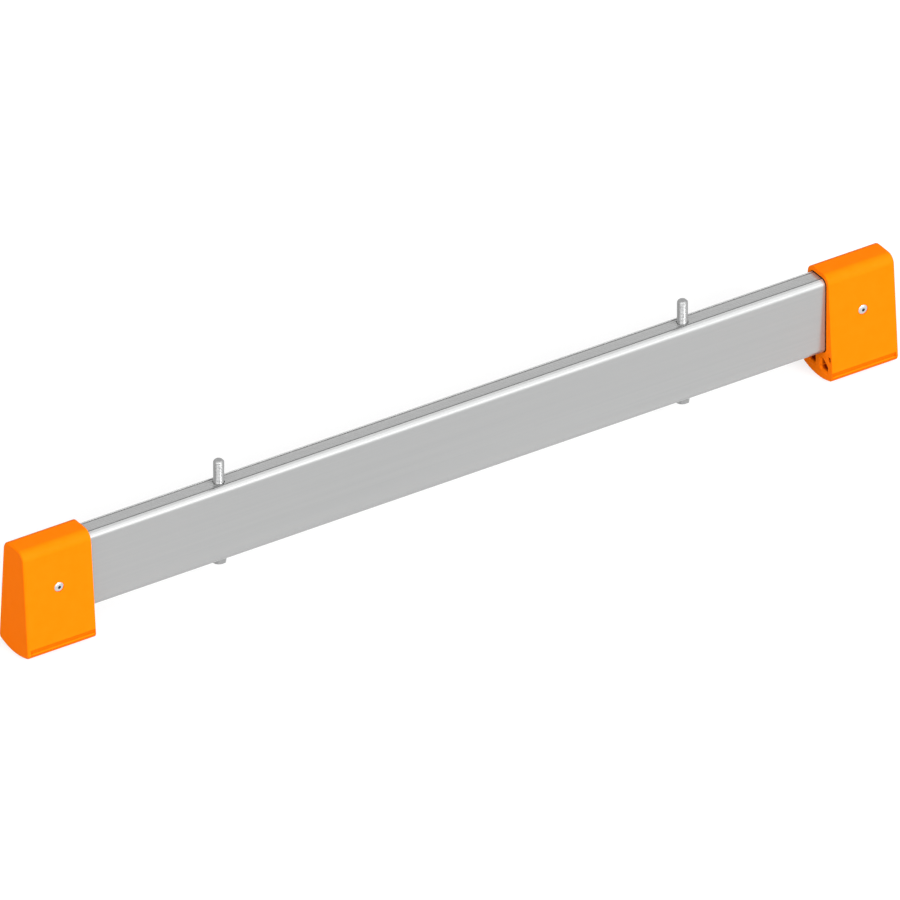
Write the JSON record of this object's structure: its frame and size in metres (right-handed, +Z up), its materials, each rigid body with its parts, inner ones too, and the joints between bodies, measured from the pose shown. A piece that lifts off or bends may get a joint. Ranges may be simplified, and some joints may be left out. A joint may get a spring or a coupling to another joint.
{
  "type": "ladder base transom",
  "caption": "Aluminium box-section cross-member with moulded orange feet riveted on its ends and upright bolts, fixed under a ladder's stiles to widen its stance.",
  "frame": {"origin": "on the ground, under the middle of the bar", "axes": "+X along the bar, +Y across it towards the back, +Z up, the way the bolts' free ends point"},
  "size_m": [0.93, 0.0488, 0.1287],
  "materials": {
    "bar_aluminium": "satin extruded",
    "orange_plastic": "smooth moulded",
    "plated_steel": "bright zinc plated",
    "rivet_aluminium": "bright",
    "mandrel_steel": "dull broken end"
  },
  "bodies": {
    "root": {"crossbar": "bar_aluminium", "foot_left": "orange_plastic", "foot_right": "orange_plastic", "bolt_left": "plated_steel", "bolt_right": "plated_steel", "rivet_left_front": "rivet_aluminium", "rivet_left_back": "rivet_aluminium", "rivet_right_front": "rivet_aluminium", "rivet_right_back": "rivet_aluminium", "mandrel_left_front": "mandrel_steel", "mandrel_left_back": "mandrel_steel", "mandrel_right_front": "mandrel_steel", "mandrel_right_back": "mandrel_steel"}
  },
  "joints": []
}
